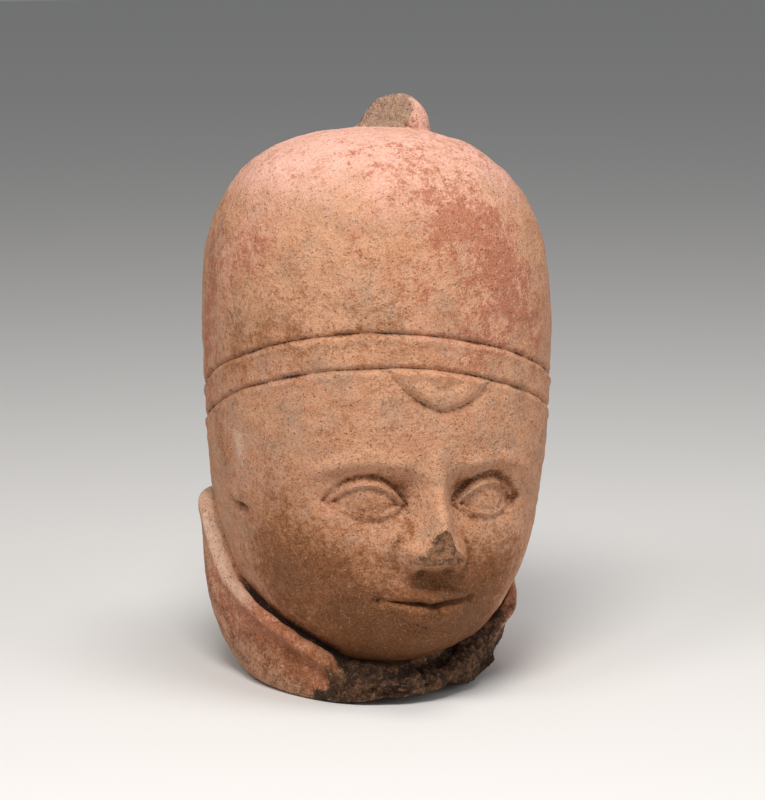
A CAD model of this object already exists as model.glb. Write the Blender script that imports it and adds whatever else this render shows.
"""A fired-clay figurine head in a tall round cap, with a high collar, broken off at the neck."""

import math

import bmesh
import bpy
import numpy as np
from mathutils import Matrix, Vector


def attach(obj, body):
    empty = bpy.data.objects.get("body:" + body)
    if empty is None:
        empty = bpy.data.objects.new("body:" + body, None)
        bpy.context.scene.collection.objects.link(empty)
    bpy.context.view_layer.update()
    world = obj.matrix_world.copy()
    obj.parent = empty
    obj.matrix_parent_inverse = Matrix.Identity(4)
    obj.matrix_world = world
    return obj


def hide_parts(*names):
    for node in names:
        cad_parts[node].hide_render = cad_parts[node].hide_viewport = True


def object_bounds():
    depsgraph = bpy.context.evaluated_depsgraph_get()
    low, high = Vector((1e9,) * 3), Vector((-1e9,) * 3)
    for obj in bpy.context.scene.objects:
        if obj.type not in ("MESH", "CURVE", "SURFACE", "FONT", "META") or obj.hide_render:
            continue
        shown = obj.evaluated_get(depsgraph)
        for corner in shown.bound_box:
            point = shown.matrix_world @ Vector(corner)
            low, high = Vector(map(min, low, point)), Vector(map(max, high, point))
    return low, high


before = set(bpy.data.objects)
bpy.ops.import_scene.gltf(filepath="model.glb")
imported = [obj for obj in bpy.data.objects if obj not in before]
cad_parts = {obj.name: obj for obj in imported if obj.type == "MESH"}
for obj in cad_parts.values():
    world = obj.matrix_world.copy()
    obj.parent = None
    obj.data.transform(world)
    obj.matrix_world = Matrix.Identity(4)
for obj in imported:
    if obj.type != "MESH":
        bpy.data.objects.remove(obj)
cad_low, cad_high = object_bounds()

# Millimetres in one of the frame's metres
MM = 1000

# The head, in millimetres along its own axis, which leans back
HEAD_HEIGHT = 163
LEAN = math.radians(8)
SIDE_LEAN = math.radians(2.7)
DOME_LEAN_SHARE = 0.25
CHIN_CLEARANCE = 6.9
AXIS_SETBACK = 12

# The cap and the skull under it
HEAD_HALF_WIDTH = 53.3
FRONT_DEPTH = 53
BACK_DEPTH = 60
DOME_RISE = 59
DOME_SHAPE = 2.62
PLAN_SHAPE = 2.15
JAW_SHAPE = 2.5
CHIN_SHAPE = 3
WIDEST_LEVEL = HEAD_HEIGHT - DOME_RISE
JAW_REACH = WIDEST_LEVEL + 2
LOWEST_JAW_LEVEL = 0.3
DOME_JOIN = 0.985

# The knob on top of the cap, and the break that took its left front
KNOB_RADIUS = 11.6
KNOB_HEIGHT = 11.5
KNOB_SHAPE = 2.3
KNOB_OFFSET = 7.2
KNOB_BREAK_START = 7.5
KNOB_BREAK_SLOPES = (1.27, 0.55)

# The band round the cap, between two incised lines, and the pendant that hangs from it
BAND_SIDE_LEVEL = 75
BAND_FRONT_RISE = 15
BAND_BACK_DROP = 8
BAND_TURN = math.radians(18)
BAND_WIDTH = 10.2
GROOVE_WIDTH = 1.6
GROOVE_DEPTH = 1.2
ABOVE_BAND = 1.4 * GROOVE_WIDTH
BELOW_BAND = 1.8 * GROOVE_WIDTH
PENDANT_HALF_WIDTH = 15
PENDANT_DROP = 11
PENDANT_RAISE = 0.9
PENDANT_SHAPE = 1.45
PENDANT_OFFSET = 1.5
PENDANT_ARC = 0.45

# The collar, which rises from the broken ledge under the chin to the sides and the back. The
# pairs of turns are in degrees from the face and say where a change begins and where it ends
LEDGE_HEIGHT = 7.5
LEDGE_RISE = 3.5
STUMP_HEIGHT = 14
STUMP_TURNS = (-10, 50)
LEFT_BREAK_TURNS = (38, 48)
RIGHT_BREAK_TURNS = (62, 76)
RIM_START_HEIGHT = 12
RIM_START_TURN = 38
RIM_SLOPE = 0.32
RIM_SLOPE_END = 104
LEFT_RISE_TURNS = (103, 124)
RIGHT_RISE_TURNS = (95, 113)
RIM_SIDE_HEIGHT = 55
RIM_BACK_HEIGHT = 50
NAPE_TURNS = (125, 175)
RIM_THICKNESS = 6.5
RIM_LEAST_THICKNESS = 4
RIM_ROLL = 4.5
BROKEN_ROLL = 1.5
RIM_UNDERCUT = 2.6
COLLAR_GAP = 2
CREVICE_DEPTH = 2.2

# The lip, into which the rolled rim opens out at the sides and the back
LIP_TURNS = (90, 112)
LIP_THICKNESS = 8
LIP_LEAST_THICKNESS = 5.5
LIP_GAP = 0.5
LIP_DEPTH = 1.2
LIP_DISH = 1.2

# The neck, an oval seen from above, which narrows to the flat break that the head stands on
NECK_MIDDLE = (-5.9, 1.5)
NECK_HALF_WIDTH = 41
NECK_HALF_DEPTH = 50
NECK_SPREAD_HEIGHT = 22
NECK_SPREAD_SHAPE = 0.7
BASE_MIDDLE = (-7, 0.5)
BASE_HALF_WIDTH = 35
BASE_HALF_DEPTH = 46.5
BASE_LIFT = 5.4
BASE_LIFT_TURN = 11
BASE_LIFT_REACH = 33
UNDERSIDE_SHARE = 0.9
LIFTED_UNDERSIDE_SHARE = 0.38

# The face, in equal thirds, five eyes wide
THIRD = (BAND_SIDE_LEVEL + BAND_FRONT_RISE) / 3
EYE_WIDTH = 0.36 * HEAD_HALF_WIDTH
BROW_LEVEL = 2 * THIRD
EYE_LEVEL = 1.67 * THIRD
NOSE_LEVEL = THIRD
MOUTH_LEVEL = 0.67 * THIRD
CHIN_LEVEL = 0.27 * THIRD

# Where worn red paint, thin brown soil and pale deposit lie on the clay. Each patch has its
# turn in degrees, its height, half its turn, half its height and its strength
CAP_TOP_HEIGHT = 170
PAINT_PATCHES = [
    (-8, 160, 16, 9, 0.2),
    (8, 150, 14, 8, 0.45),
    (4, 142, 9, 7, 0.45),
    (22, 142, 16, 12, 0.6),
    (20, 130, 8, 9, 0.55),
    (30, 126, 9, 12, 0.5),
    (38, 118, 9, 12, 0.38),
    (45, 106, 7, 12, 0.4),
    (16, 112, 7, 14, 0.35),
    (26, 108, 12, 12, 0.35),
    (20, 165, 70, 10, 0.25),
    (6, 112, 6, 14, 0.45),
    (-6, 130, 8, 7, 0.5),
    (-92, 122, 10, 26, 0.7),
    (-76, 134, 9, 10, 0.5),
    (-62, 138, 8, 8, 0.65),
    (-24, 140, 6, 7, 0.4),
    (-100, 96, 6, 12, 0.6),
    (42, 92, 16, 7, 0.2),
    (52, 74, 12, 14, 0.28),
    (-30, 88, 14, 5, 0.25),
    (130, 140, 26, 24, 0.6),
    (-150, 132, 24, 20, 0.55),
    (172, 104, 24, 12, 0.5),
    (-54, 8, 18, 6, 1),
    (-66, 17, 16, 8, 0.85),
    (-86, 22, 14, 12, 0.85),
    (-108, 26, 12, 14, 0.65),
    (-32, 4, 9, 4, 1),
    (80, 24, 16, 14, 0.8),
    (150, 28, 30, 14, 0.5),
]
SOIL_FILM_PATCHES = [
    (-10, 24, 44, 20, 0.4),
    (-4, 20, 36, 12, 0.7),
    (6, 40, 22, 10, 0.55),
    (-30, 30, 12, 8, 0.6),
    (-16, 16, 14, 6, 0.5),
    (22, 22, 10, 7, 0.5),
    (32, 34, 18, 20, 0.6),
    (-38, 46, 16, 14, 0.5),
    (-60, 36, 16, 16, 0.45),
    (8, 6, 48, 8, 0.95),
    (42, 14, 16, 8, 0.8),
    (-80, 12, 40, 14, 0.5),
    (-58, 62, 18, 14, 0.35),
    (-66, 42, 22, 14, 0.35),
    (-62, 12, 26, 9, 0.4),
    (-20, 62, 10, 8, 0.35),
    (30, 66, 9, 8, 0.3),
    (-12, 90, 14, 5, 0.25),
    (-52, 112, 13, 11, 0.45),
    (-72, 106, 9, 14, 0.4),
    (-22, 116, 16, 12, 0.35),
    (-84, 78, 8, 16, 0.35),
    (-120, 30, 20, 16, 0.3),
    (170, 66, 40, 14, 0.4),
]
PALE_PATCHES = [
    (-72, 76, 5, 9, 0.9),
    (-80, 82, 7, 5, 0.5),
    (-45, 152, 22, 14, 0.35),
    (4, 91, 60, 6, 0.42),
    (60, 60, 10, 10, 0.3),
    (120, 90, 20, 16, 0.4),
]

# Where the smooth skin is worn to grit, given like the patches above, and small nicks, whose
# last value is their depth, or minus the height of a low lump
WORN_PATCHES = [
    (-16, 48, 7, 6, 0.5),
    (-6, 40, 8, 4, 0.45),
    (-48, 96, 5, 4, 0.25),
    (46, 60, 5, 5, 0.3),
    (100, 110, 7, 9, 0.4),
    (-160, 100, 8, 8, 0.4),
    (165, 150, 10, 8, 0.4),
]
NICKS = [
    (-79, 58, 5.5, 1.4, 2.8),
    (-80, 61.5, 5.5, 1.8, -0.7),
    (73, 55, 5, 3, -1.1),
    (-76, 56, 1.8, 3, 1),
    (-58, 96, 1.6, 1.6, 0.8),
    (34, 108, 1.3, 1.3, 0.8),
    (70, 96, 1.8, 1.8, 1),
    (150, 120, 3, 3, 1.2),
]

# How finely the clay's surface is divided
COLUMNS = 320
KNOB_ROWS = 26
DOME_ROWS = 60
CAP_SIDE_ROWS = 20
BAND_ROWS = 36
FACE_ROWS = 106
COLLAR_ROWS = 56
UNDERSIDE_ROWS = 8

# How the collar's rows are shared out between the points of its outline
COLLAR_ROW_SHARES = [2.2, 2, 2, 2, 2.4, 2.6, 3, 5, 6, 6, 4, 2, 1.6]

# The view of the photograph, in metres, and its lens in millimetres
VIEW_AZIMUTH = math.radians(-20)
VIEW_ELEVATION = math.radians(10)
VIEW_DISTANCE = 1.0
VIEW_LENS = 145
VIEW_FILM_WIDTH = 36
VIEW_AIM = Vector((0.0011, -0.0004, 0.0853))

# The studio's lights, each with its place, what it is aimed at, its size in metres, its power in
# watts and its colour
LIGHTS = {
    "key": ((-0.24, -0.46, 0.78), (0, 0, 0.12), 0.34, 5.3, (1, 0.97, 0.94)),
    "overhead": ((0.1, -0.16, 0.95), (0, 0, 0.12), 0.35, 2.8, (1, 0.97, 0.95)),
    "fill": ((0.75, -0.7, 0.5), (0, 0, 0.12), 0.8, 3.2, (0.98, 0.98, 1)),
    "side": ((-0.7, -0.3, 0.8), (0, 0, 0.13), 0.4, 2.5, (1, 0.97, 0.95)),
}
FLOOR_SIZE = 8
PALE_PAPER = (0.72, 0.71, 0.69, 1)
ROOM_COLOUR = (0.9, 0.92, 0.95, 1)
ROOM_STRENGTH = 0.24


# Shaping helpers, on arrays with one row for each ring of the clay and one column for each angle
def ramp(value, low, high):
    t = np.clip((value - low) / (high - low), 0, 1)
    return t * t * (3 - 2 * t)


def mix(a, b, share):
    return a + (b - a) * share


def bell(t):
    return np.exp(-t * t)


def mound(x, level, centre_x, centre_level, radius_x, radius_level, height):
    return height * bell((x - centre_x) / radius_x) * bell((level - centre_level) / radius_level)


def spread(count, start, end, density):
    """Places from start to end, closest together where the density is highest."""
    fine = np.linspace(start, end, 4000)
    weight = np.broadcast_to(density(fine), fine.shape)
    total = np.concatenate([[0], np.cumsum((weight[1:] + weight[:-1]) / 2)])
    return np.interp(np.linspace(0, total[-1], count + 1), total, fine)


def lumps(x, y, z):
    """Repeatable lumps of about one unit in size, from -1 to 1."""
    x, y, z = np.broadcast_arrays(*(np.asarray(v, float) for v in (x, y, z)))

    def corner(i, j, k):
        h = np.sin(i * 127.1 + j * 311.7 + k * 74.7) * 43758.5453
        return 2 * (h - np.floor(h)) - 1

    i, j, k = np.floor(x), np.floor(y), np.floor(z)
    u, v, w = (t * t * (3 - 2 * t) for t in (x - i, y - j, z - k))

    def along(b, c):
        return mix(corner(i, j + b, k + c), corner(i + 1, j + b, k + c), u)

    return mix(mix(along(0, 0), along(1, 0), v), mix(along(0, 1), along(1, 1), v), w)


def rough(points, size, octaves=3, seed=0):
    """Lumps of several sizes together, the largest about size across."""
    total = 0
    for n in range(octaves):
        step = 2**n / size
        x, y, z = (points[..., axis] * step + 17.3 * (n + seed) for axis in range(3))
        total = total + lumps(x, y, z) / 1.7**n
    return total


# The plain head: a rounded oval at every level
def width_share(level, jaw_shape=JAW_SHAPE):
    """The head's width at a level as a share of its greatest width."""
    up = np.clip((level - WIDEST_LEVEL) / DOME_RISE, 0, 1)
    down = np.clip((WIDEST_LEVEL - level) / JAW_REACH, 0, 1)
    above = (1 - up**DOME_SHAPE) ** (1 / DOME_SHAPE)
    below = (1 - down**jaw_shape) ** (1 / jaw_shape)
    return np.where(level > WIDEST_LEVEL, above, below)


def head_radius(angle, level):
    """From the head's axis out to the plain head's outside."""
    across = np.abs(np.sin(angle)) / (HEAD_HALF_WIDTH * width_share(level))
    front_depth = FRONT_DEPTH * width_share(level, CHIN_SHAPE)
    depth = np.where(np.cos(angle) > 0, front_depth, BACK_DEPTH * width_share(level))
    along = np.abs(np.cos(angle)) / depth
    return (across**PLAN_SHAPE + along**PLAN_SHAPE) ** (-1 / PLAN_SHAPE)


def axis_at(level):
    """Where the head's leaning axis is at a level, across and forward."""
    over = level - WIDEST_LEVEL
    sideways = over * math.sin(SIDE_LEAN) * mix(1, DOME_LEAN_SHARE, ramp(over, -15, 15))
    return sideways, level * math.sin(LEAN) - AXIS_SETBACK


def stand(x, y, level):
    """From the leaning head's own axes to the ground's."""
    x, y, level = np.broadcast_arrays(x, y, level)
    axis_x, axis_y = axis_at(level)
    up = level * math.cos(LEAN) - y * math.sin(LEAN) - x * math.sin(SIDE_LEAN) + CHIN_CLEARANCE
    return np.stack([x + axis_x, y * math.cos(LEAN) + axis_y, up], axis=-1)


# The face
def almond(across, up, half, tall, low):
    """Millimetres outside an eye-shaped outline with a pointed corner at each side."""
    lift = np.where(up > 0, tall, low)
    share = np.abs(up) / lift + (across / half) ** 2
    slope = np.hypot(1 / lift, 2 * across / half**2)
    return (share - 1) / slope


def eyes(x, level, skin):
    """The eyeballs and the lids, let into the skin round them."""
    half = EYE_WIDTH / 2
    across = np.abs(x) - EYE_WIDTH
    up = level - EYE_LEVEL - 0.06 * across
    ball = -1.4 - across**2 / 26 - up**2 / 20
    opening = almond(across, up, half, 4.7, 3.3)
    rim = almond(across, up, half + 2.4, 7.6, 5.3)
    lid = ball + np.where(up > 0, 1.8, 1.3) + 0.35 * bell((opening - 0.8) / 0.7)
    crease = -0.8 * bell((rim - 0.5) / 0.75) * ramp(up, -1, 2)
    lids = 1 - ramp(rim, -0.7, 0.9)
    opened = 1 - ramp(opening, -0.45, 0.4)
    return mix(mix(skin, lid, lids), ball, opened) + crease


def brows(x, level):
    side = np.abs(x) / EYE_WIDTH
    line = BROW_LEVEL + 1.6 - 4.6 * (side - 1.05) ** 2
    run = ramp(side, 0.1, 0.5) * (1 - ramp(side, 1.6, 2.05))
    above = bell((level - line) / 3.2)
    below = bell((level - line) / 1.9)
    return 2.1 * run * np.where(level > line, above, below)


def nose(x, level):
    down = (BROW_LEVEL - level) / (BROW_LEVEL - NOSE_LEVEL)
    ridge = 2.6 + 11.4 * ramp(down, -0.15, 0.95)
    under = 1 - ramp(down, 0.86, 1.07)
    half = 3.9 + 3.3 * np.clip(down, 0, 1.2) ** 2
    bridge = ridge * under * ramp(down, -0.4, 0.12) * np.exp(-(np.abs(x / half) ** 2.6))
    wings = mound(np.abs(x), level, 7.3, NOSE_LEVEL + 4.3, 3.3, 4.2, 6.2)
    nostrils = mound(np.abs(x), level, 3.9, NOSE_LEVEL - 0.1, 1.9, 1.3, -2.6)
    fold = bell((np.hypot((np.abs(x) - 7) / 5.2, (level - NOSE_LEVEL - 4.4) / 5.6) - 1) / 0.16)
    crease = -0.8 * fold * ramp(np.abs(x), 8.5, 11)
    return bridge + wings + nostrils + crease


def mouth(x, level):
    half = 0.76 * EYE_WIDTH
    side = np.clip(np.abs(x) / half, 0, 1)
    parting = MOUTH_LEVEL + 1.0 * side**2 - 0.7 * bell(x / 3.2)
    upper_edge = parting + 5.4 * (1 - side**1.7) - 1.1 * bell(x / 2) + 0.01
    lower_edge = parting - 6.3 * (1 - side**2.2) - 0.01
    edge = np.where(level > parting, upper_edge, lower_edge)
    share = (level - parting) / (edge - parting)
    lip = np.clip(4 * share * (1 - share), 0, 1) ** 0.55 * (share < 1)
    full = np.where(level > parting, 2.9, 3.7) * (1 - side**2.6)
    reach = 1 - ramp(np.abs(x), half - 1, half + 2.2)
    parted = -2.1 * reach * bell((level - parting) / 1.05)
    corners = mound(np.abs(x), level, half + 0.6, MOUTH_LEVEL + 1, 2.2, 2.4, -1.3)
    chip = -1.5 * ramp(mound(x, level, 0.8, MOUTH_LEVEL - 3, 2.4, 2.8, 1), 0.35, 0.6)
    return lip * full + parted + corners + chip


def face_relief(x, level):
    """Everything that stands out from or sinks into the front of the plain head."""
    side = np.abs(x)
    sockets = mound(side, level, 0.95 * EYE_WIDTH, EYE_LEVEL + 1.5, 14, 8.5, -5)
    inner = mound(side, level, 0.5 * EYE_WIDTH, EYE_LEVEL + 3.5, 4.2, 6.5, -2.4)
    cheeks = mound(side, level, 1.5 * EYE_WIDTH, 1.2 * THIRD, 13, 12, 2.8)
    muzzle = mound(x, level, 0, MOUTH_LEVEL + 1, 16, 10, 4.4)
    philtrum = mound(x, level, 0, MOUTH_LEVEL + 7.2, 1.7, 2.6, -0.9)
    chin = mound(x, level, 0, CHIN_LEVEL, 12.5, 7.5, 5)
    fold = mound(x, level, 0, MOUTH_LEVEL - 7.9, 11, 2.5, -1.6)
    skin = sockets + inner + cheeks + muzzle + philtrum + chin + fold + brows(x, level)
    whole = eyes(x, level, skin) + nose(x, level) + mouth(x, level)
    lost_tip = 10.4 + 0.14 * x + 0.9 * lumps(x / 3, level / 3, 4) + 0.4 * lumps(x, level, 9)
    tip = mound(x, level, 0, NOSE_LEVEL + 6, 9, 9, 1) > 0.15
    lost = tip & (whole > lost_tip)
    return np.where(lost, lost_tip, whole), lost


# The cap's band and pendant
def band_line(angle):
    """The lower incised line, highest over the face and lowest at the nape."""
    half = (BAND_FRONT_RISE + BAND_BACK_DROP) / 2
    skew = (BAND_FRONT_RISE - BAND_BACK_DROP) / 2
    facing = np.cos(angle + BAND_TURN)
    return BAND_SIDE_LEVEL + half * facing + skew * facing**2


def incised(distance, ragged):
    """A line drawn in wet clay: a groove with a low ridge pushed up below it."""
    width = GROOVE_WIDTH / 2 * (1 + 0.3 * ragged)
    groove = bell(distance / width)
    ridge = 0.3 * bell((distance + 1.2 * GROOVE_WIDTH) / 0.9)
    return GROOVE_DEPTH * (ridge - groove * (1 + 0.25 * ragged)), groove**2


def pendant(x, drop):
    """A half-round pendant with an incised outline and a smaller incised arc inside it."""
    across = np.abs((x - PENDANT_OFFSET) / PENDANT_HALF_WIDTH)
    down = np.clip(drop, 0, None) / PENDANT_DROP
    share = (across**PENDANT_SHAPE + down**PENDANT_SHAPE) ** (1 / PENDANT_SHAPE)
    hangs = ramp(drop, 0, 0.6)
    field = PENDANT_RAISE * (1 - ramp(share, 0.9, 1.03))
    outline = bell((share - 1) / mix(0.09, 0.17, ramp(share, 0.98, 1.02)))
    arc = 0.75 * bell((share - PENDANT_ARC) / 0.12)
    relief = field - GROOVE_DEPTH * (0.9 * outline + arc)
    return hangs * relief, hangs * (0.12 * outline + 0.2 * arc)


def head_surface(angle, level):
    """Points of the cap's side, the band and the face, with their soil and their breaks."""
    line = band_line(angle)
    ragged = 0.6 * lumps(angle * 11, 0, 5) + 0.5 * lumps(angle * 23, level * 0.5, 8)
    wander = 0.2 * lumps(angle * 5, 0, 3)
    low_relief, low_soil = incised(level - line + wander, ragged)
    high_relief, high_soil = incised(level - line - BAND_WIDTH - wander, -ragged)
    radius = head_radius(angle, level) + low_relief + high_relief
    x = radius * np.sin(angle)
    facing = ramp(np.cos(angle), 0.05, 0.5)
    below = 1 - ramp(level, line - 3, line)
    relief, lost = face_relief(x, level)
    hanging, pendant_soil = pendant(x, line - GROOVE_WIDTH / 2 - level)
    points = stand(x, -radius * np.cos(angle) - facing * (below * relief + hanging), level)
    uneven = 0.72 + 0.3 * lumps(angle * 9, 0, 12)
    soil = np.clip((low_soil + high_soil) * uneven + facing * pendant_soil, 0, 1)
    return points, soil, lost * facing


# The top of the cap: the knob's own rings, then rings that open out to the cap's outline
def dome_level(x, y):
    """The level of the cap's dome above a place on the head's plan."""
    depth = np.where(y < 0, FRONT_DEPTH, BACK_DEPTH)
    share = np.abs(x / HEAD_HALF_WIDTH) ** PLAN_SHAPE + np.abs(y / depth) ** PLAN_SHAPE
    out = np.clip(share ** (1 / PLAN_SHAPE), 0, 1)
    return WIDEST_LEVEL + DOME_RISE * (1 - out**DOME_SHAPE) ** (1 / DOME_SHAPE)


def knob_surface(angle, turn):
    """The knob's rings, from its middle at turn 0 to its foot at a quarter turn."""
    flat = KNOB_RADIUS * np.sin(turn) ** (2 / KNOB_SHAPE)
    height = KNOB_HEIGHT * np.cos(turn) ** (2 / KNOB_SHAPE)
    x, y = flat * np.sin(angle), -flat * np.cos(angle)
    grit = lumps(x / 3, y / 3, 1) + 0.5 * lumps(x / 1.1, y / 1.1, 6)
    slope_x, slope_y = KNOB_BREAK_SLOPES
    broken = KNOB_BREAK_START + slope_x * x + slope_y * y + 0.7 * grit
    broken = np.maximum(broken, 0.2 * height + 0.3)
    lost = height > broken
    height = np.minimum(height, broken)
    x = x + KNOB_OFFSET
    return stand(x, y, dome_level(x, y) + height), np.zeros_like(x), lost.astype(float)


def dome_surface(angle, ring):
    """Rings from the knob's foot at 0 out to the cap's own outline at 1."""
    ring = ring[:, None]
    outline = head_radius(angle, WIDEST_LEVEL)
    radius = mix(KNOB_RADIUS, DOME_JOIN * outline, ring)
    x = radius * np.sin(angle) + KNOB_OFFSET * (1 - ramp(ring, 0, 0.85))
    y = -radius * np.cos(angle)
    fillet = 0.9 * np.exp(-ring * 22)
    foot_soil = np.broadcast_to(0.5 * np.exp(-ring * 26), x.shape)
    return stand(x, y, dome_level(x, y) + fillet), foot_soil, np.zeros_like(x)


# The collar and the broken neck under it
def whole_rim(angle):
    """1 where the collar's rim is whole, 0 where it has broken away in front."""
    turn = np.degrees(angle)
    return np.where(turn < 0, ramp(-turn, *LEFT_BREAK_TURNS), ramp(turn, *RIGHT_BREAK_TURNS))


def rim_height(angle):
    """A broken ledge in front, a slope along the jaw, then a steep rise at the sides."""
    turn = np.degrees(np.abs(angle))
    run = np.clip(turn, RIM_START_TURN, RIM_SLOPE_END) - RIM_START_TURN
    slope = RIM_START_HEIGHT + RIM_SLOPE * run
    rise = np.where(angle < 0, ramp(turn, *LEFT_RISE_TURNS), ramp(turn, *RIGHT_RISE_TURNS))
    side = mix(slope, RIM_SIDE_HEIGHT, rise)
    back = mix(side, RIM_BACK_HEIGHT, ramp(turn, *NAPE_TURNS))
    stump = mix(LEDGE_HEIGHT, STUMP_HEIGHT, ramp(np.degrees(angle), *STUMP_TURNS))
    return mix(stump, back, whole_rim(angle))


def level_at(angle, height):
    """The level on the leaning head that lies at a height above the ground."""
    level = height
    for _ in range(8):
        radius = head_radius(angle, np.maximum(level, LOWEST_JAW_LEVEL))
        drop = radius * (np.cos(angle) * math.sin(LEAN) - np.sin(angle) * math.sin(SIDE_LEAN))
        level = (height - CHIN_CLEARANCE - drop) / math.cos(LEAN)
    return np.maximum(level, LOWEST_JAW_LEVEL)


def lip(angle):
    """1 where the rolled rim along the jaw has opened out to the side's flat pale lip."""
    return ramp(np.degrees(np.abs(angle)), *LIP_TURNS)


def crevice_depth(angle):
    """Below the rim where it is whole; above the broken ledge, which slopes up to the jaw."""
    rim = mix(CREVICE_DEPTH, LIP_DEPTH, lip(angle))
    return mix(-LEDGE_RISE, rim, whole_rim(angle))


def crevice_level(angle):
    """The level on the leaning head at which the collar's crevice meets the jaw."""
    return level_at(angle, rim_height(angle) - crevice_depth(angle))


def collar_point(angle, radius, height):
    """A point out from the head's leaning axis at its own height."""
    axis_x, axis_y = axis_at(height - CHIN_CLEARANCE)
    x, y = axis_x + radius * np.sin(angle), axis_y - radius * np.cos(angle)
    return np.stack(np.broadcast_arrays(x, y, height), axis=-1)


def neck_radius(angle, height):
    """From the head's leaning axis to the oval neck's outside at a height."""
    spread_out = np.clip(height / NECK_SPREAD_HEIGHT, 0, 1) ** NECK_SPREAD_SHAPE
    half_width = mix(BASE_HALF_WIDTH, NECK_HALF_WIDTH, spread_out)
    half_depth = mix(BASE_HALF_DEPTH, NECK_HALF_DEPTH, spread_out)
    axis_x, axis_y = axis_at(height - CHIN_CLEARANCE)
    across, along = np.sin(angle) / half_width, -np.cos(angle) / half_depth
    off_x = (axis_x - mix(BASE_MIDDLE[0], NECK_MIDDLE[0], spread_out)) / half_width
    off_y = (axis_y - mix(BASE_MIDDLE[1], NECK_MIDDLE[1], spread_out)) / half_depth
    # The radius r meets the oval where a * r**2 + 2 * b * r + c = 0
    a = across**2 + along**2
    b = off_x * across + off_y * along
    c = off_x**2 + off_y**2 - 1
    return (np.sqrt(b * b - a * c) - b) / a


def lifted(angle):
    """How much of the lift the base's broken edge has in a direction, from 0 to 1."""
    return bell((np.degrees(angle) - BASE_LIFT_TURN) / BASE_LIFT_REACH)


def base_ring(angle):
    """Where the underside meets the ground, further in where the broken edge is lifted."""
    share = mix(UNDERSIDE_SHARE, LIFTED_UNDERSIDE_SHARE, lifted(angle))
    return collar_point(angle, share * neck_radius(angle, 0), 0)


def collar_outline(angle):
    """The collar's outline in every direction, from the crevice at the jaw to the underside."""
    whole = whole_rim(angle)
    rim = rim_height(angle)
    gap = head_radius(angle, level_at(angle, rim)) + mix(COLLAR_GAP, LIP_GAP, lip(angle))
    least = mix(RIM_LEAST_THICKNESS, LIP_LEAST_THICKNESS, lip(angle))
    outer = np.maximum(neck_radius(angle, rim), gap + least)
    inner = np.maximum(gap, outer - mix(RIM_THICKNESS, LIP_THICKNESS, lip(angle)))
    stands_out = outer - neck_radius(angle, rim)
    jaw = head_surface(angle, crevice_level(angle)[None, :])[0][0]
    floor = mix(collar_point(angle, inner, rim - crevice_depth(angle)), jaw, 0.5)
    ragged = (1 - whole) * lumps(9 * np.sin(angle), 9 * np.cos(angle), 2)
    chipped = (1 - whole) * lumps(24 * np.sin(angle), 24 * np.cos(angle), 7)
    height = rim + 1.2 * ragged + 0.8 * chipped
    outer_edge = outer + 1.2 * chipped - 1.2 * ragged
    roll = mix(BROKEN_ROLL, RIM_ROLL, whole)
    undercut = RIM_UNDERCUT * whole * (1 - 0.75 * lip(angle))
    dished = LIP_DISH * lip(angle)
    lift = BASE_LIFT * lifted(angle)

    def outside(share, cut=0.0):
        height = share * (rim - 1.6 * roll)
        radius = neck_radius(angle, height) + stands_out * share**0.5 - cut * undercut
        return collar_point(angle, radius, np.maximum(height, lift * (1 - share)))

    edge = neck_radius(angle, 0)
    return np.stack([
        floor,
        collar_point(angle, inner, height - mix(-1, 1, whole) - dished),
        collar_point(angle, mix(inner, outer, 0.3), height - dished),
        collar_point(angle, mix(inner, outer_edge, 0.7), height),
        collar_point(angle, outer_edge - 0.1 * roll, height - 0.3 * roll),
        collar_point(angle, outer_edge, height - 0.7 * roll),
        collar_point(angle, outer - undercut, rim - 1.15 * roll),
        outside(1, 0.9),
        outside(0.72, 0.5),
        outside(0.45, 0.2),
        outside(0.2, 0.1),
        outside(0.06),
        collar_point(angle, edge - 0.6, lift),
        base_ring(angle),
    ])


def collar_surface(angle):
    """The collar's rows, with their soil, their breaks and how much of each is the pale lip."""
    outline = collar_outline(angle)
    steps = np.linspace(0, sum(COLLAR_ROW_SHARES), COLLAR_ROWS)
    places = np.interp(steps, np.cumsum([0, *COLLAR_ROW_SHARES]), range(len(outline)))
    first = np.minimum(places.astype(int), len(outline) - 2)
    points = mix(outline[first], outline[first + 1], (places - first)[:, None, None])
    place = places[:, None]
    crevice = 1 - ramp(place, 1.1, 2.3)
    torn = 0.2 * ramp(place, 6, 11) + 0.07 * lumps(place * 0.8, 14 * angle, 4)
    fallen = (1 - whole_rim(angle * (1 - torn))) * ramp(place, 0.2, 1)
    underside = ramp(place, 11.6, 12.4)
    packed = crevice * mix(0.35, 1, whole_rim(angle)) * (1 - 0.85 * lip(angle))
    pale_lip = ramp(place, 1, 2) * (1 - ramp(place, 4, 5.5)) * ramp(np.degrees(np.abs(angle)), 74, 92)
    gritty = 0.9 * crevice * (1 - 0.9 * lip(angle))
    broken = np.maximum(np.maximum(1.9 * fallen, underside), gritty)
    grimy = 0.42 * ramp(place, 5.5, 8) * whole_rim(angle)
    return points, packed + 0.45 * fallen + grimy, broken, pale_lip


def underside_surface(angle, share):
    """Flat rings from the base's edge in to its middle."""
    middle = np.array([*BASE_MIDDLE, 0])
    points = mix(base_ring(angle)[None], middle, share[:, None, None])
    points[..., 2] = 0
    soil = np.zeros(points.shape[:2])
    return points, soil, np.ones_like(soil)


def soften(points, passes):
    """Evens out each row with its neighbours, leaving the first and last rows."""
    for _ in range(passes):
        points[1:-1] = points[1:-1] / 2 + (points[:-2] + points[2:]) / 4
    return points


def dome_detail(ring):
    """How closely the dome's rings lie, closest at the knob's foot and at the cap's side."""
    return 1 + 1.5 * ring**4 + 1.5 * np.exp(-ring * 14)


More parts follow.
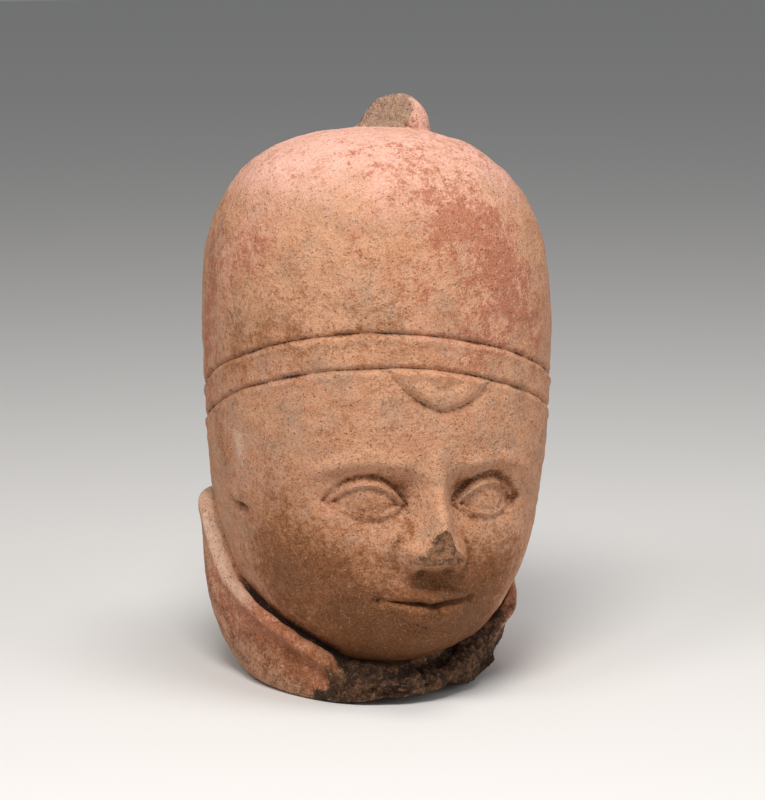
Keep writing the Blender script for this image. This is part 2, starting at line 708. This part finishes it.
def band_detail(rise):
    """How closely the band's rows lie above its lower line, closest at both lines."""
    return 1 + 4 * bell(rise / 2) + 4 * bell((rise - BAND_WIDTH) / 2)


def face_detail(level):
    """How closely the face's rows lie at a level, closest at the eyes, the lips and the jaw."""
    eye = bell((level - EYE_LEVEL - 1) / 8)
    lips = bell((level - MOUTH_LEVEL) / 6)
    nostril = bell((level - NOSE_LEVEL - 2) / 5)
    jaw = bell((level - LOWEST_JAW_LEVEL) / 4)
    pendant_rim = bell((level - band_line(0) + BELOW_BAND + 7) / 6)
    return 1 + 1.2 * eye + 1.2 * lips + 0.9 * nostril + 1.2 * jaw + 0.5 * pendant_rim


def clay_rows(angle):
    """All rows of the clay's surface, from the knob to the middle of the underside."""
    knob = knob_surface(angle, np.linspace(0, math.pi / 2, KNOB_ROWS)[:, None])
    dome = dome_surface(angle, spread(DOME_ROWS, 0, 1, dome_detail)[1:])
    join = WIDEST_LEVEL + DOME_RISE * (1 - DOME_JOIN**DOME_SHAPE) ** (1 / DOME_SHAPE)
    line = band_line(angle)
    down = np.linspace(0, 1, CAP_SIDE_ROWS + 1)[1:, None]
    cap_side = head_surface(angle, mix(join, line + BAND_WIDTH + ABOVE_BAND, down))
    rises = spread(BAND_ROWS, BAND_WIDTH + ABOVE_BAND, -BELOW_BAND, band_detail)[1:, None]
    band = head_surface(angle, line + rises)
    face_top = band_line(0) - BELOW_BAND
    levels = spread(FACE_ROWS, face_top, LOWEST_JAW_LEVEL, face_detail)[1:]
    down = ((face_top - levels) / (face_top - LOWEST_JAW_LEVEL))[:, None]
    face = head_surface(angle, mix(line - BELOW_BAND, crevice_level(angle), down))
    at_crevice = 0.85 * ramp(down, 0.9, 1) * whole_rim(angle) * (1 - 0.9 * lip(angle))
    face = (face[0], np.maximum(face[1], at_crevice), face[2])
    collar_points, collar_soil, collar_broken, pale_lip = collar_surface(angle)
    collar_points = soften(np.concatenate([face[0][-1:], collar_points]), 3)[1:]
    collar = (collar_points, collar_soil, collar_broken)
    underside = underside_surface(angle, np.linspace(0, 1, UNDERSIDE_ROWS + 1)[1:])
    parts = [knob, dome, cap_side, band, face, collar, underside]
    points, soil, broken = (np.concatenate(same) for same in zip(*parts))
    first = len(soil) - UNDERSIDE_ROWS - COLLAR_ROWS
    pale = np.zeros_like(soil)
    pale[first:first + COLLAR_ROWS] = pale_lip
    clean = np.zeros_like(soil)
    clean[first:] = whole_rim(angle)
    return points, soil, broken, pale, clean


def column_angles():
    """Columns crowd towards the face, thin out towards the nape and crowd a little at the lip."""

    def density(angle):
        turn = np.degrees(np.abs(angle))
        return 0.42 + 0.58 * (1 - ramp(turn, 40, 65)) + 0.12 * bell((turn - 108) / 25)

    return spread(COLUMNS, -math.pi, math.pi, density)[:-1]


def outward(points):
    """The surface's unit normals on the grid of rows and columns."""
    down = np.gradient(points, axis=0)
    along = (np.roll(points, -1, axis=1) - np.roll(points, 1, axis=1)) / 2
    normal = np.cross(down, along)
    length = np.linalg.norm(normal, axis=-1, keepdims=True)
    return normal / np.maximum(length, 1e-9)


def evened(values, passes):
    """The values of the grid, each mixed with its neighbours' along and across the rows."""
    even = values.copy()
    for _ in range(passes):
        even = soften(even, 1)
        even = even / 2 + (np.roll(even, 1, axis=1) + np.roll(even, -1, axis=1)) / 4
    return even


def hollows(points, normal, passes):
    """How far each point lies below the evened-out surface round it, in millimetres."""
    return np.sum((evened(points, passes) - points) * normal, axis=-1)


def weathered(points, broken):
    """The hand-made wobble, dents and gritty breaks of the clay's surface."""
    normal = outward(points)
    above_ground = ramp(points[..., 2], 0.5, 4)
    wobble = 0.6 * rough(points, 34, 2, seed=1)
    dents = 0.26 * rough(points, 8, 3, seed=5)
    wiped = 0.1 * rough(points * (0.16, 0.16, 1), 1.8, 2, seed=21)
    grit = broken * (0.62 * rough(points, 4.5, 4, seed=9) - 0.15)
    lumpy = np.clip(broken - 1, 0, 1) * 0.9 * rough(points, 9, 2, seed=31)
    pits = -0.4 * ramp(rough(points, 3.2, 2, seed=14), 1.0, 1.5)
    change = wobble + dents + wiped + grit + lumpy + pits
    return points + normal * (above_ground * change)[..., None]


def patches(angle, height, places):
    """Soft patches, each with its turn and height, their two half sizes and its strength."""
    turn = np.degrees(angle)[None, :]
    total = 0
    for middle, level, half_turn, half_height, strength in places:
        away = (turn - middle + 180) % 360 - 180
        total = total + strength * bell(away / half_turn) * bell((height - level) / half_height)
    return total


def in_cad_box(points):
    """Moves the head to the middle of the CAD's box, with its underside on the ground."""
    low, high = np.array([cad_low, cad_high]) * MM
    middle = (points.min((0, 1)) + points.max((0, 1))) / 2
    shift = (low + high) / 2 - middle
    shift[2] = low[2] - points[..., 2].min()
    return points + shift


def ball(rows):
    """A sphere's mesh, and for each of its vertices the row and the column of the clay's grid."""
    bm = bmesh.new()
    bmesh.ops.create_uvsphere(bm, u_segments=COLUMNS, v_segments=rows - 1, radius=1)
    mesh = bpy.data.meshes.new("terracotta")
    bm.to_mesh(mesh)
    bm.free()
    places = np.empty(len(mesh.vertices) * 3, np.float32)
    mesh.vertices.foreach_get("co", places)
    x, y, z = places.reshape(-1, 3).T
    row = np.rint(np.arccos(np.clip(z, -1, 1)) / math.pi * (rows - 1)).astype(int)
    turn = np.arctan2(y, x) / (2 * math.pi) * COLUMNS
    column = np.rint(turn - turn[row == rows // 2].min()).astype(int) % COLUMNS
    return mesh, row, column


def clay_mesh():
    """The head as one closed mesh: a sphere's grid whose vertices are moved into place."""
    angle = column_angles()
    points, soil, broken, pale, clean = clay_rows(angle)
    broken = evened(broken, 1) + patches(angle, points[..., 2], WORN_PATCHES)
    points = points - outward(points) * patches(angle, points[..., 2], NICKS)[..., None]
    points = weathered(points, broken)
    normal = outward(points)
    sunk = hollows(points, normal, 3)
    deep = hollows(points, normal, 30)
    points = in_cad_box(points)
    height = points[..., 2] - cad_low[2] * MM
    marks = {
        "soil": soil,
        "broken": broken,
        "sunk": sunk,
        "deep": deep,
        "paint": patches(angle, height, PAINT_PATCHES),
        "film": patches(angle, height, SOIL_FILM_PATCHES) * (1 - 0.5 * clean),
        "pale": pale + patches(angle, height, PALE_PATCHES),
        "height": height / CAP_TOP_HEIGHT,
    }
    mesh, row, column = ball(len(points))
    mesh.vertices.foreach_set("co", (points[row, column] / MM).astype(np.float32).ravel())
    for name, values in marks.items():
        layer = mesh.attributes.new(name, "FLOAT", "POINT")
        layer.data.foreach_set("value", values[row, column].astype(np.float32))
    mesh.update()
    mesh.shade_smooth()
    return mesh


# The clay's colours
BUFF = (0.57, 0.295, 0.168)
WARM_BUFF = (0.46, 0.2, 0.09)
GREY_BUFF = (0.36, 0.225, 0.145)
PINK = (0.76, 0.42, 0.33)
RED_PAINT = (0.37, 0.115, 0.062)
DEEP_RED = (0.25, 0.068, 0.036)
RUST = (0.47, 0.19, 0.095)
ORANGE_SOIL = (0.25, 0.08, 0.017)
BROWN_SOIL = (0.12, 0.042, 0.008)
DARK_SOIL = (0.03, 0.016, 0.009)
PALE_DEPOSIT = (0.7, 0.49, 0.37)
OCHRE_GRIT = (0.42, 0.205, 0.1)
PALE_GRIT = (0.56, 0.39, 0.28)
BROWN_GRIT = (0.11, 0.05, 0.024)
SPECK = (0.1, 0.046, 0.024)


class Recipe:
    """The steps of a material, each made from the ones before it."""

    def __init__(self, name):
        self.material = bpy.data.materials.new(name)
        self.material.use_nodes = True
        self.tree = self.material.node_tree
        self.shader = self.tree.nodes["Principled BSDF"]
        self.place = self.step("ShaderNodeTexCoord").outputs["Object"]

    def step(self, kind, sources=None, **settings):
        made = self.tree.nodes.new(kind)
        for name, value in settings.items():
            setattr(made, name, value)
        for name, value in (sources or {}).items():
            self.join(value, made.inputs[name])
        return made

    def join(self, value, socket):
        if isinstance(value, bpy.types.NodeSocket):
            self.tree.links.new(value, socket)
        else:
            socket.default_value = value

    def mark(self, name):
        return self.step("ShaderNodeAttribute", attribute_name=name).outputs["Fac"]

    def moved(self, shift):
        return self.step("ShaderNodeMapping", {0: self.place, 1: (shift, 2 * shift, -shift)}).outputs[0]

    def cloud(self, size, detail=3.0, rough=0.55, shift=0.0):
        """Soft cloudy noise about a size in millimetres, from 0 to 1."""
        sources = {"Vector": self.moved(shift), "Scale": MM / size, "Detail": detail, "Roughness": rough}
        return self.step("ShaderNodeTexNoise", sources).outputs[0]

    def grains(self, size, shift=0.0):
        """Distance from each grain's middle as a share of its size, and the grain's own chance."""
        sources = {"Vector": self.moved(shift), "Scale": MM / size}
        grain = self.step("ShaderNodeTexVoronoi", sources)
        chance = self.step("ShaderNodeSeparateColor", {0: grain.outputs["Color"]})
        return grain.outputs["Distance"], chance.outputs[0]

    def ramp(self, value, low, high, start=0.0, end=1.0):
        sources = {0: value, 1: low, 2: high, 3: start, 4: end}
        return self.step("ShaderNodeMapRange", sources, interpolation_type="SMOOTHSTEP").outputs[0]

    def sum(self, first, *others):
        for other in others:
            first = self.step("ShaderNodeMath", {0: first, 1: other}, operation="ADD").outputs[0]
        return first

    def product(self, a, b):
        return self.step("ShaderNodeMath", {0: a, 1: b}, operation="MULTIPLY").outputs[0]

    def tint(self, under, over, share):
        sources = {0: share, 6: self.colour(under), 7: self.colour(over)}
        return self.step("ShaderNodeMix", sources, data_type="RGBA").outputs[2]

    def colour(self, value):
        return (*value, 1) if isinstance(value, tuple) else value


class Clay(Recipe):
    """Fired clay, with the clouds that its layers share, from the broadest to the finest."""

    def __init__(self):
        super().__init__("fired_clay")
        self.height = self.mark("height")
        self.broken = self.mark("broken")
        self.broad = self.cloud(26, 3, 0.6)
        self.middling = self.cloud(6, 4, 0.62, 0.3)
        self.flaked = self.cloud(3.4, 5, 0.8, 3.7)
        self.coarse = self.cloud(1.9, 4, 0.75, 0.4)
        self.fine = self.cloud(1.6, 3, 0.65, 0.7)
        self.grain = self.cloud(0.8, 2, 0.7, 1.3)
        self.sand = self.cloud(0.42, 1, 0.5, 2.6)


def body_clay(clay):
    """Buff in warmer and greyer clouds, pinkest on top of the cap and round its red paint."""
    warm = clay.sum(clay.product(clay.broad, 0.7), clay.product(clay.middling, 0.5))
    grey = clay.sum(clay.cloud(11, 4, 0.7, 2.1), clay.product(clay.grain, 0.4))
    high = clay.ramp(clay.height, 0.82, 1.0, 0, 0.62)
    painted = clay.ramp(clay.mark("paint"), 0.1, 0.6, 0, 0.12)
    flushed = clay.sum(high, clay.product(clay.broad, 1.1), painted, clay.product(clay.fine, 0.6))
    colour = clay.tint(BUFF, WARM_BUFF, clay.ramp(warm, 0.5, 0.75, 0, 0.75))
    colour = clay.tint(colour, GREY_BUFF, clay.ramp(grey, 0.62, 0.92, 0, 0.75))
    colour = clay.tint(colour, BROWN_SOIL, clay.ramp(clay.sum(clay.grain, clay.fine), 0.98, 1.35, 0, 0.5))
    return clay.tint(colour, PINK, clay.ramp(flushed, 0.8, 1.58))


def red_paint(clay, colour):
    """Worn paint, left in flecks over a rusty stain."""
    flecks = clay.sum(clay.product(clay.flaked, 3.2), clay.product(clay.grain, 1.2), clay.middling)
    paint = clay.sum(clay.mark("paint"), flecks, -2.98)
    left = clay.product(clay.ramp(paint, 0.12, 0.5, 0, 0.9), clay.ramp(clay.grain, 0.3, 0.6, 1, 0.7))
    red = clay.tint(RED_PAINT, DEEP_RED, clay.ramp(clay.fine, 0.5, 0.75, 0, 0.5))
    colour = clay.tint(colour, RUST, clay.ramp(paint, -0.35, 0.5, 0, 0.55))
    return clay.tint(colour, red, left)


def pale_deposit(clay, colour):
    pale = clay.sum(clay.mark("pale"), clay.product(clay.flaked, 2.2), clay.grain, -1.95)
    return clay.tint(colour, PALE_DEPOSIT, clay.ramp(pale, 0.15, 0.85, 0, 0.75))


def sandy_grain(clay, colour):
    colour = clay.tint(colour, SPECK, clay.ramp(clay.sand, 0.52, 0.8, 0, 0.42))
    return clay.tint(colour, PALE_DEPOSIT, clay.ramp(clay.sand, 0.46, 0.2, 0, 0.32))


def soil_film(clay, colour):
    """Thin soil, orange where it is thinnest and brown where it is thicker, with sand in it."""
    low = clay.ramp(clay.mark("deep"), 0.1, 1.6, 0, 0.6)
    streaked = clay.sum(clay.product(clay.flaked, 1.5), clay.product(clay.fine, 0.8))
    film = clay.sum(clay.mark("film"), low, streaked, -1.2)
    caught = clay.ramp(clay.grain, 0.35, 0.65, 0.7, 1)
    orange = clay.product(clay.ramp(film, 0, 0.7, 0, 0.95), caught)
    brown = clay.product(clay.ramp(film, 0.35, 1.1, 0, 0.9), caught)
    colour = clay.tint(colour, ORANGE_SOIL, orange)
    colour = clay.tint(colour, BROWN_SOIL, brown)
    colour = clay.tint(colour, SPECK, clay.product(clay.ramp(clay.sand, 0.55, 0.8, 0, 0.7), orange))
    return clay.tint(colour, PALE_DEPOSIT, clay.product(clay.ramp(clay.sand, 0.4, 0.2, 0, 0.4), orange))


def gritty_breaks(clay, colour):
    """Bare grit where the clay is broken, darkest low on the neck and palest on the knob."""
    pale = clay.ramp(clay.cloud(1.1, 2, 0.6, 0.9), 0.58, 0.72, 0, 0.6)
    dirty = clay.ramp(clay.cloud(2.6, 4, 0.75, 5.1), 0.42, 0.6, 0.25, 0.9)
    grit = clay.tint(OCHRE_GRIT, BROWN_GRIT, clay.ramp(clay.coarse, 0.4, 0.62))
    grit = clay.tint(grit, PALE_DEPOSIT, pale)
    grit = clay.tint(grit, DARK_SOIL, clay.product(dirty, clay.ramp(clay.height, 0.24, 0.1)))
    grit = clay.tint(grit, PALE_GRIT, clay.ramp(clay.height, 0.75, 0.95, 0, 0.5))
    bare = clay.sum(clay.broken, clay.product(clay.coarse, 1.3))
    return clay.tint(colour, grit, clay.ramp(bare, 0.95, 1.4, 0, 0.9))


def packed_soil(clay, colour):
    """Dark soil in lines, corners and small hollows."""
    sunk = clay.ramp(clay.mark("sunk"), 0.12, 0.5, 0, 0.7)
    uneven = clay.sum(clay.product(clay.middling, 1.3), clay.product(clay.grain, 1.5), -1.65)
    packed = clay.sum(clay.product(clay.mark("soil"), 1.25), sunk, uneven)
    return clay.tint(colour, DARK_SOIL, clay.ramp(packed, 0.2, 0.9, 0, 0.9))


def specks(clay, colour):
    """Small dark and pale specks, dark on the face and fainter on the cap."""
    low = clay.ramp(clay.height, 0.4, 0.65, 1, 0.7)
    bold = clay.product(low, clay.ramp(clay.middling, 0.3, 0.6, 0.45, 1))
    for size, shift, share, strength in ((0.5, 0.1, 0.5, 0.75), (0.8, 0.5, 0.3, 0.85)):
        distance, chance = clay.grains(size, shift)
        near = clay.ramp(clay.sum(distance, clay.product(clay.grain, 0.3)), 0.62, 0.34)
        dark = clay.product(clay.product(near, bold), clay.ramp(chance, 1 - share, 1, 0, strength))
        pale = clay.product(near, clay.ramp(chance, share / 4, 0, 0, 0.3))
        colour = clay.tint(colour, SPECK, dark)
        colour = clay.tint(colour, PALE_DEPOSIT, pale)
    return colour


def fine_relief(clay):
    """Unevenness, pits and sand too small for the mesh, coarsest on the breaks."""
    distance, chance = clay.grains(1.3, 0.2)
    pits = clay.product(clay.ramp(distance, 0.35, 0.1), clay.ramp(chance, 0.72, 0.78, 0, -1))
    uneven = clay.sum(clay.product(clay.middling, 1.2), clay.product(clay.fine, 0.8))
    grit = clay.product(clay.product(clay.coarse, clay.broken), 3.2)
    relief = clay.sum(uneven, clay.product(pits, 0.5), clay.product(clay.sand, 0.25), grit)
    bump = clay.step("ShaderNodeBump", {"Strength": 1.0, "Distance": 0.0008, "Height": relief})
    return bump.outputs[0]


def fired_clay():
    """The layers of the clay's colour from the body outwards, then its roughness and relief."""
    clay = Clay()
    colour = body_clay(clay)
    layers = (red_paint, pale_deposit, sandy_grain, soil_film, gritty_breaks, packed_soil, specks)
    for layer in layers:
        colour = layer(clay, colour)
    roughness = clay.sum(clay.ramp(clay.middling, 0.3, 0.7, 0.68, 0.88), clay.product(clay.broken, 0.08))
    clay.join(colour, clay.shader.inputs["Base Color"])
    clay.join(roughness, clay.shader.inputs["Roughness"])
    clay.shader.inputs["Specular IOR Level"].default_value = 0.3
    clay.join(fine_relief(clay), clay.shader.inputs["Normal"])
    return clay.material


def area_light(name, place, aim, size, power, colour):
    lamp = bpy.data.lights.new(name, "AREA")
    lamp.shape = "DISK"
    lamp.size = size
    lamp.energy = power
    lamp.color = colour
    holder = bpy.data.objects.new(name, lamp)
    bpy.context.scene.collection.objects.link(holder)
    holder.location = place
    holder.rotation_euler = (Vector(aim) - Vector(place)).to_track_quat("-Z", "Y").to_euler()


def studio():
    """A pale floor, soft lights and an evenly lit room."""
    bpy.ops.mesh.primitive_plane_add(size=FLOOR_SIZE, location=(0, 0, 0))
    floor = bpy.context.object
    floor.name = "floor"
    paper = bpy.data.materials.new("pale_paper")
    paper.use_nodes = True
    shader = paper.node_tree.nodes["Principled BSDF"]
    shader.inputs["Base Color"].default_value = PALE_PAPER
    shader.inputs["Roughness"].default_value = 0.9
    floor.data.materials.append(paper)
    for name, settings in LIGHTS.items():
        area_light(name, *settings)
    world = bpy.data.worlds.new("soft_room")
    world.use_nodes = True
    room = world.node_tree.nodes["Background"]
    room.inputs["Color"].default_value = ROOM_COLOUR
    room.inputs["Strength"].default_value = ROOM_STRENGTH
    bpy.context.scene.world = world
    bpy.context.scene.view_settings.view_transform = "Standard"


def camera():
    """A camera at the photograph's angle, which looks a little down on the head."""
    data = bpy.data.cameras.new("camera")
    data.lens = VIEW_LENS
    data.sensor_width = VIEW_FILM_WIDTH
    data.clip_start = 0.05
    holder = bpy.data.objects.new("camera", data)
    bpy.context.scene.collection.objects.link(holder)
    level = math.cos(VIEW_ELEVATION)
    across, forward = math.sin(VIEW_AZIMUTH) * level, -math.cos(VIEW_AZIMUTH) * level
    back = Vector((across, forward, math.sin(VIEW_ELEVATION)))
    holder.location = VIEW_AIM + back * VIEW_DISTANCE
    holder.rotation_euler = (-back).to_track_quat("-Z", "Y").to_euler()
    bpy.context.scene.camera = holder


head = bpy.data.objects.new("figurine_head", clay_mesh())
bpy.context.scene.collection.objects.link(head)
head.data.materials.append(fired_clay())
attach(head, "root")
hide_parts("terracotta_head")
studio()
camera()
